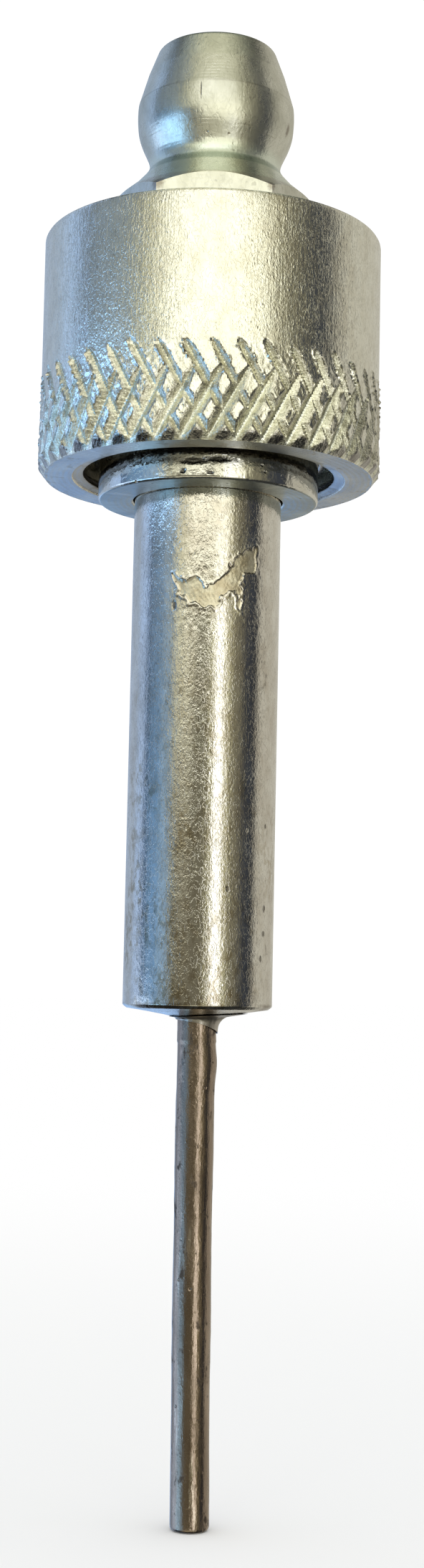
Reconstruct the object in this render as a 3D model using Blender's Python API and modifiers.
"""Grease needle injector: a hydraulic grease nipple on a quick-release coupler, holding a plug-in
stem with a thin injector needle.

The object stands on its needle. The origin is the centre of the needle's cut tip, and +Z runs up
the common axis to the nipple. Sizes are in millimetres and are turned into metres by MM.
In the names, D is a diameter, R a radius and Z a height; a pair of heights is (low, high).
"""

import math

import bmesh
import bpy
from mathutils import Matrix, Vector

MM = 0.001

OVERALL_LENGTH = 60.0
CLEARANCE = 0.03  # gap left between neighbouring pieces

# Needle, stem and braze
NEEDLE_D = 1.55
NEEDLE_BORE_D = 0.90
NEEDLE_TOP_Z = 28.5  # the tube is brazed this far up into the stem
NEEDLE_EDGE = 0.10
STEM_D = 6.0
STEM_Z = (20.45, 49.15)  # ends of the stem, the lower one above its edge and cone
STEM_PASSAGE_D = 1.2
STEM_SOCKET_D = 1.6  # hole that takes the needle
STEM_SOCKET_TOP_Z = NEEDLE_TOP_Z + 0.1
STEM_TOP_CHAMFER = 0.4
STEM_LOW_EDGE = 0.15  # height of the bevel above the end cone
STEM_CONE_R = 2.86  # outer radius of the shallow cone on the lower end
STEM_CONE_DROP = 0.355
BRAZE_D = 2.9
BRAZE_BOTTOM_Z = 19.25
BRAZE_FIT = 0.005  # radial gap from the line of the stem's socket

# Coupler body
COLLAR_D = 9.0
COLLAR_BOTTOM_Z = 40.9
COLLAR_CHAMFER = 0.14
BODY_BORE_D = 6.1
FLANGE_D = 10.64
FLANGE_Z = (50.45, 52.0)
FLANGE_CHAMFER = 0.2
THREAD_HOLE_D = 5.44  # pitch diameter of the M6 nipple thread, plus clearance
THREAD_SHANK_D = 5.36
GLAND_D = 7.8
GLAND_Z = (47.15, 48.45)
SOCKET_END_Z = 49.25

# Locking balls
BALL_D = 2.0
BALL_COUNT = 4
BALL_FIRST_DEG = 45.0
BALL_Z = 45.75
BALL_R = 3.5  # distance of a ball's centre from the axis when locked
BALL_TRAVEL = 0.55
BALL_HOLE_D = 2.08
DRILL_REACH = 2.2  # from the ball's centre outward
STEM_GROOVE_SECTION_R = 1.06

# Snap ring, an open ring of round wire
SNAP_WIRE_D = 0.8
SNAP_R = 4.6
SNAP_Z = 42.9
SNAP_GAP_DEG = 34.0
SNAP_STEPS = 36

# Release sleeve
SLEEVE_D = 13.88
KNURL_D = 14.14
SLEEVE_Z = (41.85, 51.7)
SLEEVE_CHAMFER = 0.14
KNURL_TOP_Z = 45.8
MOUTH_R = 5.55
STEP_R = 5.25
LIP_R = 4.72
LIP_THICKNESS = 0.47
LAND_R = 4.6
LAND_TOP_Z = 46.7
CHAMBER_R = 5.4
CHAMBER_CHAMFER = 0.15
SLEEVE_TRAVEL = 1.1
RAMP_SLOPE = BALL_TRAVEL / SLEEVE_TRAVEL  # radial rise per millimetre of sleeve travel
RAMP_TOP_Z = BALL_Z + 0.12

# Sleeve spring and its washer; a pair of ring radii is (inner, outer)
WASHER_R = (4.58, 5.30)
WASHER_LOW_Z = LAND_TOP_Z + CLEARANCE
WASHER_Z = (WASHER_LOW_Z, WASHER_LOW_Z + 0.30)
SPRING_WIRE_D = 0.5
SPRING_R = 4.95
SPRING_Z = (WASHER_Z[1] + CLEARANCE, FLANGE_Z[0] - CLEARANCE)
SPRING_TURNS = 3.5

# Seal and backup ring
SEAL_SECTION_D = 0.84
SEAL_R = 3.455
SEAL_Z = 47.93
BACKUP_R = (3.04, 0.5 * GLAND_D - CLEARANCE)
BACKUP_LOW_Z = GLAND_Z[0] + CLEARANCE
BACKUP_Z = (BACKUP_LOW_Z, BACKUP_LOW_Z + 0.28)

# Nipple
NIPPLE_HEAD_D = 6.5
NIPPLE_NECK_D = 5.46
NIPPLE_BORE_R = 0.80
NIPPLE_MOUTH_R = 0.85
SHANK_BOTTOM_Z = 49.32
SHANK_CHAMFER = 0.18
HEX_FLATS = 8.0  # width across flats
HEX_CORNER_R = HEX_FLATS / math.sqrt(3.0)
HEX_BLANK_R = 4.78  # turned radius before the flats are cut
HEX_BOTTOM_Z = 52.02
HEX_CORNER_Z = 52.93  # where the cone above the hexagon crosses its corners
HEX_CONE_TOP_R = 3.40
HEX_CONE_SLOPE = 0.855
HEX_CUT_R = 6.2
HEX_CUT_Z = (51.6, 54.3)
HEX_CORE_OVERRUN = 0.2
CHECK_BALL_D = 2.0
CHECK_BALL_Z = 58.95
CHECK_BORE_R = 1.15
CHECK_SHELF_Z = 51.30
CHECK_SEAT_Z = (59.24, 59.54)  # the cone from the check bore to the mouth
CHECK_SPRING_WIRE_D = 0.30
CHECK_SPRING_R = 0.74
CHECK_SPRING_Z = (CHECK_SHELF_Z + CLEARANCE, 58.17)
CHECK_SPRING_TURNS = 7.0


# ---- scene and materials ----
for old in list(bpy.data.objects):
    bpy.data.objects.remove(old, do_unlink=True)

parts = bpy.data.collections.new("grease_needle_injector")
cutters = bpy.data.collections.new("cutters")
bpy.context.scene.collection.children.link(parts)
bpy.context.scene.collection.children.link(cutters)


def material(name, color, roughness, metallic=1.0):
    mat = bpy.data.materials.new(name)
    mat.use_nodes = True
    shader = mat.node_tree.nodes["Principled BSDF"]
    shader.inputs["Base Color"].default_value = (*color, 1.0)
    shader.inputs["Roughness"].default_value = roughness
    shader.inputs["Metallic"].default_value = metallic
    mat.diffuse_color = (*color, 1.0)
    return mat


STEEL_SLEEVE = material("zinc_plated_sleeve_steel", color=(0.66, 0.64, 0.58), roughness=0.32)
STEEL_BODY = material("nickel_plated_body_steel", color=(0.68, 0.69, 0.70), roughness=0.22)
STEEL_STEM = material("plated_stem_steel", color=(0.64, 0.62, 0.60), roughness=0.30)
STEEL_NIPPLE = material("zinc_plated_nipple_steel", color=(0.62, 0.62, 0.55), roughness=0.34)
STEEL_NEEDLE = material("tarnished_needle_steel", color=(0.40, 0.31, 0.21), roughness=0.38)
STEEL_SPRING = material("spring_steel", color=(0.42, 0.42, 0.43), roughness=0.35)
STEEL_BALL = material("polished_ball_steel", color=(0.75, 0.75, 0.76), roughness=0.10)
STEEL_WASHER = material("washer_steel", color=(0.55, 0.55, 0.55), roughness=0.35)
BRAZE = material("braze_alloy", color=(0.66, 0.57, 0.38), roughness=0.36)
NITRILE = material("nitrile_rubber", color=(0.025, 0.025, 0.027), roughness=0.65, metallic=0.0)
PTFE = material("ptfe", color=(0.82, 0.82, 0.78), roughness=0.50, metallic=0.0)


# ---- shape helpers ----
def add_object(name, shape, mat, collection, centre, smooth_deg=38.0):
    """Turn a bmesh into an object with its origin at centre."""
    mesh = bpy.data.meshes.new(name)
    shape.to_mesh(mesh)
    shape.free()
    if mat is not None:
        mesh.materials.append(mat)
    if mesh.polygons:
        mesh.shade_smooth()
        mesh.set_sharp_from_angle(angle=math.radians(smooth_deg))
    obj = bpy.data.objects.new(name, mesh)
    collection.objects.link(obj)
    obj.location = Vector(centre) * MM
    return obj


def turned(name, profile, mat, segments, collection=parts, closed=True, z_origin=0.0):
    """Turn a profile of (radius, height) points about Z.

    The points run down the outer side, then back up the bore.
    """
    shape = bmesh.new()
    verts = [shape.verts.new((radius * MM, 0.0, (z - z_origin) * MM)) for radius, z in profile]
    for start, end in zip(verts, verts[1:]):
        shape.edges.new((start, end))
    if closed:
        shape.edges.new((verts[-1], verts[0]))
    obj = add_object(name, shape, mat, collection, (0.0, 0.0, z_origin))
    screw = obj.modifiers.new("Turn", "SCREW")
    screw.angle = 2.0 * math.pi
    screw.steps = segments
    screw.render_steps = segments
    screw.use_merge_vertices = True
    screw.merge_threshold = 1e-6
    screw.use_smooth_shade = True
    screw.use_normal_calculate = False
    return obj


def flat_ring(name, radii, heights, mat, segments, z_origin=0.0):
    """A ring of rectangular section."""
    inner, outer = radii
    low, high = heights
    profile = [(outer, high), (outer, low), (inner, low), (inner, high)]
    turned(name, profile, mat, segments, z_origin=z_origin)


def arc(centre_r, centre_z, radius, start_deg, end_deg, count):
    """Points on a circular arc in the (radius, height) plane."""
    points = []
    for i in range(count):
        angle = math.radians(start_deg + (end_deg - start_deg) * i / (count - 1))
        point = (centre_r + radius * math.cos(angle), centre_z + radius * math.sin(angle))
        points.append(point)
    return points


def groove(centre_r, centre_z, radius, start_deg, count):
    """A round-bottomed groove, cut into an outer side from the top edge to the bottom edge."""
    return arc(centre_r, centre_z, radius, start_deg, 360.0 - start_deg, count)


def subtract(target, cutter, label):
    """Cut a hidden helper out of the target."""
    cutter.hide_render = True
    cutter.display_type = "WIRE"
    cut = target.modifiers.new(label, "BOOLEAN")
    cut.operation = "DIFFERENCE"
    cut.solver = "EXACT"
    cut.object = cutter


def cylinder_cutter(name, radius, z_low, z_high, segments):
    shape = bmesh.new()
    bmesh.ops.create_cone(
        shape,
        cap_ends=True,
        cap_tris=False,
        segments=segments,
        radius1=radius * MM,
        radius2=radius * MM,
        depth=(z_high - z_low) * MM,
    )
    return add_object(name, shape, None, cutters, (0.0, 0.0, 0.5 * (z_low + z_high)))


def ball(name, diameter, centre):
    shape = bmesh.new()
    bmesh.ops.create_uvsphere(shape, u_segments=20, v_segments=10, radius=0.5 * diameter * MM)
    add_object(name, shape, STEEL_BALL, parts, centre, smooth_deg=80.0)


def wire(name, points, wire_d):
    """A round spring-steel wire through the points, as a poly spline with filled ends."""
    curve = bpy.data.curves.new(name, "CURVE")
    curve.dimensions = "3D"
    curve.bevel_depth = 0.5 * wire_d * MM
    curve.bevel_resolution = 2
    curve.use_fill_caps = True
    spline = curve.splines.new("POLY")
    spline.points.add(len(points) - 1)
    for point, (x, y, z) in zip(spline.points, points):
        point.co = (x * MM, y * MM, z * MM, 1.0)
    spline.use_smooth = True
    curve.materials.append(STEEL_SPRING)
    parts.objects.link(bpy.data.objects.new(name, curve))


def coil_points(radius, heights, turns, wire_d, per_turn, closed_gap):
    """Centre line of a compression spring with one closed turn at each end.

    The end turns rise by the wire and closed_gap, and the middle turns share the rest.
    """
    low = heights[0] + 0.5 * wire_d
    high = heights[1] - 0.5 * wire_d
    end_rise = wire_d + closed_gap
    mid_pitch = (high - low - 2.0 * end_rise) / (turns - 2.0)
    count = int(round(turns * per_turn))
    points = []
    for i in range(count + 1):
        turn = turns * i / count
        if turn <= 1.0:
            z = low + end_rise * turn
        elif turn >= turns - 1.0:
            z = high - end_rise * (turns - turn)
        else:
            z = low + end_rise + mid_pitch * (turn - 1.0)
        angle = 2.0 * math.pi * turn
        points.append((radius * math.cos(angle), radius * math.sin(angle), z))
    return points


# ---- pieces ----
def stem_cone_z(radius):
    """Height of the stem's conical lower end at a radius."""
    drop_left = (STEM_CONE_R - radius) / (STEM_CONE_R - 0.5 * STEM_SOCKET_D)
    return STEM_Z[0] - STEM_LOW_EDGE - STEM_CONE_DROP * drop_left


def build_stem():
    outer = 0.5 * STEM_D
    socket = 0.5 * STEM_SOCKET_D
    passage = 0.5 * STEM_PASSAGE_D
    bottom, top = STEM_Z
    profile = [
        (outer - STEM_TOP_CHAMFER, top),
        (outer, top - STEM_TOP_CHAMFER),
        *groove(BALL_R, BALL_Z, STEM_GROOVE_SECTION_R, start_deg=118.1, count=9),
        (outer, bottom),
        (STEM_CONE_R, bottom - STEM_LOW_EDGE),
        (socket, stem_cone_z(socket)),
        (socket, STEM_SOCKET_TOP_Z),
        (passage, STEM_SOCKET_TOP_Z),
        (passage, top),
    ]
    turned("stem", profile, STEEL_STEM, segments=48)


def build_needle():
    outer = 0.5 * NEEDLE_D
    bore = 0.5 * NEEDLE_BORE_D
    profile = [
        (outer - NEEDLE_EDGE, NEEDLE_TOP_Z),
        (outer, NEEDLE_TOP_Z - NEEDLE_EDGE),
        (outer, 0.12),
        (outer - 0.03, 0.04),
        (outer - NEEDLE_EDGE, 0.0),
        (bore, 0.0),
        (bore, NEEDLE_TOP_Z),
    ]
    turned("needle_tube", profile, STEEL_NEEDLE, segments=32)


def build_braze():
    """Hollow-sided fillet between the needle and the stem's lower end."""
    outer = 0.5 * BRAZE_D
    inner = 0.5 * STEM_SOCKET_D + BRAZE_FIT
    profile = [
        (outer, stem_cone_z(outer) - CLEARANCE),
        (outer - 0.24, 19.86),
        (outer - 0.38, 19.70),
        (outer - 0.47, 19.50),
        (outer - 0.53, BRAZE_BOTTOM_Z),
        (inner, BRAZE_BOTTOM_Z),
        (inner, stem_cone_z(inner) - CLEARANCE),
    ]
    turned("braze_fillet", profile, BRAZE, segments=32)


def build_body():
    """Collar, ball barrel, flange, seal gland and nipple thread."""
    flange = 0.5 * FLANGE_D
    collar = 0.5 * COLLAR_D
    bore = 0.5 * BODY_BORE_D
    gland = 0.5 * GLAND_D
    thread = 0.5 * THREAD_HOLE_D
    snap_section_r = 0.5 * SNAP_WIRE_D + CLEARANCE
    profile = [
        (flange - FLANGE_CHAMFER, FLANGE_Z[1]),
        (flange, FLANGE_Z[1] - FLANGE_CHAMFER),
        (flange, FLANGE_Z[0]),
        (collar, FLANGE_Z[0]),
        *groove(SNAP_R, SNAP_Z, snap_section_r, start_deg=103.4, count=7),
        (collar, COLLAR_BOTTOM_Z + COLLAR_CHAMFER),
        (collar - COLLAR_CHAMFER, COLLAR_BOTTOM_Z),
        (bore + 0.10, COLLAR_BOTTOM_Z),
        (bore, COLLAR_BOTTOM_Z + 0.12),
        (bore, GLAND_Z[0]),
        (gland, GLAND_Z[0]),
        (gland, GLAND_Z[1]),
        (bore, GLAND_Z[1]),
        (bore, SOCKET_END_Z),
        (thread, SOCKET_END_Z),
        (thread, FLANGE_Z[1]),
    ]
    return turned("coupler_body", profile, STEEL_BODY, segments=48)


def build_balls(body):
    """Locking balls and their pockets.

    Each pocket is drilled from outside with a round-ended drill, which leaves a narrower rim at
    the bore so that the ball can't fall through.
    """
    radius = 0.5 * BALL_HOLE_D
    drill_profile = [
        (0.0, DRILL_REACH),
        (radius, DRILL_REACH),
        (radius, 0.0),
        *arc(0.0, 0.0, radius, -15.0, -75.0, 5),
        (0.0, -radius),
    ]
    up = Vector((0.0, 0.0, 1.0))
    for i in range(BALL_COUNT):
        number = i + 1
        angle = math.radians(BALL_FIRST_DEG + 360.0 * i / BALL_COUNT)
        outward = Vector((math.cos(angle), math.sin(angle), 0.0))
        centre = outward * BALL_R + up * BALL_Z
        drill = turned(
            f"ball_pocket_drill_{number}", drill_profile, None, 20, collection=cutters, closed=False
        )
        tilt = up.rotation_difference(outward).to_matrix().to_4x4()
        drill.matrix_world = Matrix.Translation(centre * MM) @ tilt
        subtract(body, drill, f"Ball pocket {number}")
        ball(f"locking_ball_{number}", BALL_D, centre)


def build_sleeve():
    """Knurled grip, mouth, retaining lip, ball ramp, locking land and spring chamber."""
    outer = 0.5 * SLEEVE_D
    knurl = 0.5 * KNURL_D
    bottom, top = SLEEVE_Z
    lip_bottom = SNAP_Z + 0.5 * SNAP_WIRE_D + CLEARANCE
    lip_top = lip_bottom + LIP_THICKNESS
    profile = [
        (outer - SLEEVE_CHAMFER, top),
        (outer, top - SLEEVE_CHAMFER),
        (outer, KNURL_TOP_Z + 0.35),
        (knurl - 0.05, KNURL_TOP_Z - 0.15),
        (knurl, KNURL_TOP_Z - 0.8),
        (knurl, bottom + 0.30),
        (knurl - 0.25, bottom),
        (MOUTH_R, bottom),
        (MOUTH_R, bottom + 0.35),
        (STEP_R, bottom + 0.50),
        (STEP_R, lip_bottom),
        (LIP_R, lip_bottom),
        (LIP_R, lip_top),
        (STEP_R, lip_top),
        (STEP_R, RAMP_TOP_Z - (STEP_R - LAND_R) / RAMP_SLOPE),
        (LAND_R, RAMP_TOP_Z),
        (LAND_R, LAND_TOP_Z),
        (CHAMBER_R, LAND_TOP_Z),
        (CHAMBER_R, top - CHAMBER_CHAMFER),
        (CHAMBER_R + CHAMBER_CHAMFER, top),
    ]
    # The origin sits on the slide axis, at the mouth.
    turned("release_sleeve", profile, STEEL_SLEEVE, segments=56, z_origin=bottom)


def build_sleeve_spring():
    flat_ring("sleeve_spring_washer", WASHER_R, WASHER_Z, STEEL_WASHER, 48, z_origin=WASHER_Z[0])
    points = coil_points(
        SPRING_R, SPRING_Z, SPRING_TURNS, SPRING_WIRE_D, per_turn=22, closed_gap=0.04
    )
    wire("sleeve_spring", points, SPRING_WIRE_D)


def build_snap_ring():
    """The gap faces -X."""
    points = []
    for i in range(SNAP_STEPS + 1):
        swept_deg = (360.0 - SNAP_GAP_DEG) * i / SNAP_STEPS
        angle = math.radians(180.0 + 0.5 * SNAP_GAP_DEG + swept_deg)
        points.append((SNAP_R * math.cos(angle), SNAP_R * math.sin(angle), SNAP_Z))
    wire("sleeve_snap_ring", points, SNAP_WIRE_D)


def build_seal():
    """Seal ring and backup ring in the body's gland."""
    section = arc(SEAL_R, SEAL_Z, 0.5 * SEAL_SECTION_D, 324.0, 0.0, 10)
    turned("stem_seal_ring", section, NITRILE, segments=40)
    flat_ring("seal_backup_ring", BACKUP_R, BACKUP_Z, PTFE, segments=40)


def hex_cone_z(radius):
    """Height of the cone above the wrench hexagon at a radius."""
    return HEX_CORNER_Z + HEX_CONE_SLOPE * (HEX_CORNER_R - radius)


def build_nipple():
    """Head, neck, wrench hexagon, threaded shank and check bore."""
    head = 0.5 * NIPPLE_HEAD_D
    neck = 0.5 * NIPPLE_NECK_D
    shank = 0.5 * THREAD_SHANK_D
    profile = [
        # Head
        (2.15, OVERALL_LENGTH),
        (2.35, OVERALL_LENGTH - 0.07),
        (2.45, OVERALL_LENGTH - 0.24),
        (2.86, 58.85), (3.10, 58.17), (3.20, 57.80),
        (head, 57.40), (head, 56.78),
        (head - 0.05, 56.42), (head - 0.19, 56.05),
        # Neck
        (2.87, 55.60), (neck + 0.03, 55.30), (neck, 55.05),
        (neck + 0.05, 54.80), (2.95, 54.48),
        # Hexagon blank and shank
        (HEX_CONE_TOP_R, hex_cone_z(HEX_CONE_TOP_R)),
        (HEX_BLANK_R, hex_cone_z(HEX_BLANK_R)),
        (HEX_BLANK_R, HEX_BOTTOM_Z),
        (shank, HEX_BOTTOM_Z),
        (shank, SHANK_BOTTOM_Z + SHANK_CHAMFER),
        (shank - SHANK_CHAMFER, SHANK_BOTTOM_Z),
        # Bore
        (NIPPLE_BORE_R, SHANK_BOTTOM_Z),
        (NIPPLE_BORE_R, CHECK_SHELF_Z),
        (CHECK_BORE_R, CHECK_SHELF_Z),
        (CHECK_BORE_R, CHECK_SEAT_Z[0]),
        (NIPPLE_MOUTH_R, CHECK_SEAT_Z[1]),
        (NIPPLE_MOUTH_R, OVERALL_LENGTH),
    ]
    nipple = turned("nipple_body", profile, STEEL_NIPPLE, segments=48)

    # A ring with a hexagonal hole trims the blank to its flats.
    low, high = HEX_CUT_Z
    ring = cylinder_cutter("hex_ring_cutter", HEX_CUT_R, low, high, segments=32)
    core = cylinder_cutter(
        "hex_core_cutter", HEX_CORNER_R, low - HEX_CORE_OVERRUN, high + HEX_CORE_OVERRUN, segments=6
    )
    core.rotation_euler = (0.0, 0.0, math.radians(30.0))  # one flat faces -Y
    subtract(ring, core, "Hexagon")
    subtract(nipple, ring, "Wrench flats")


def build_check_valve():
    ball("nipple_check_ball", CHECK_BALL_D, (0.0, 0.0, CHECK_BALL_Z))
    points = coil_points(
        CHECK_SPRING_R,
        CHECK_SPRING_Z,
        CHECK_SPRING_TURNS,
        CHECK_SPRING_WIRE_D,
        per_turn=12,
        closed_gap=0.03,
    )
    wire("nipple_check_spring", points, CHECK_SPRING_WIRE_D)


build_stem()
build_needle()
build_braze()
build_balls(build_body())
build_sleeve()
build_sleeve_spring()
build_snap_ring()
build_seal()
build_nipple()
build_check_valve()
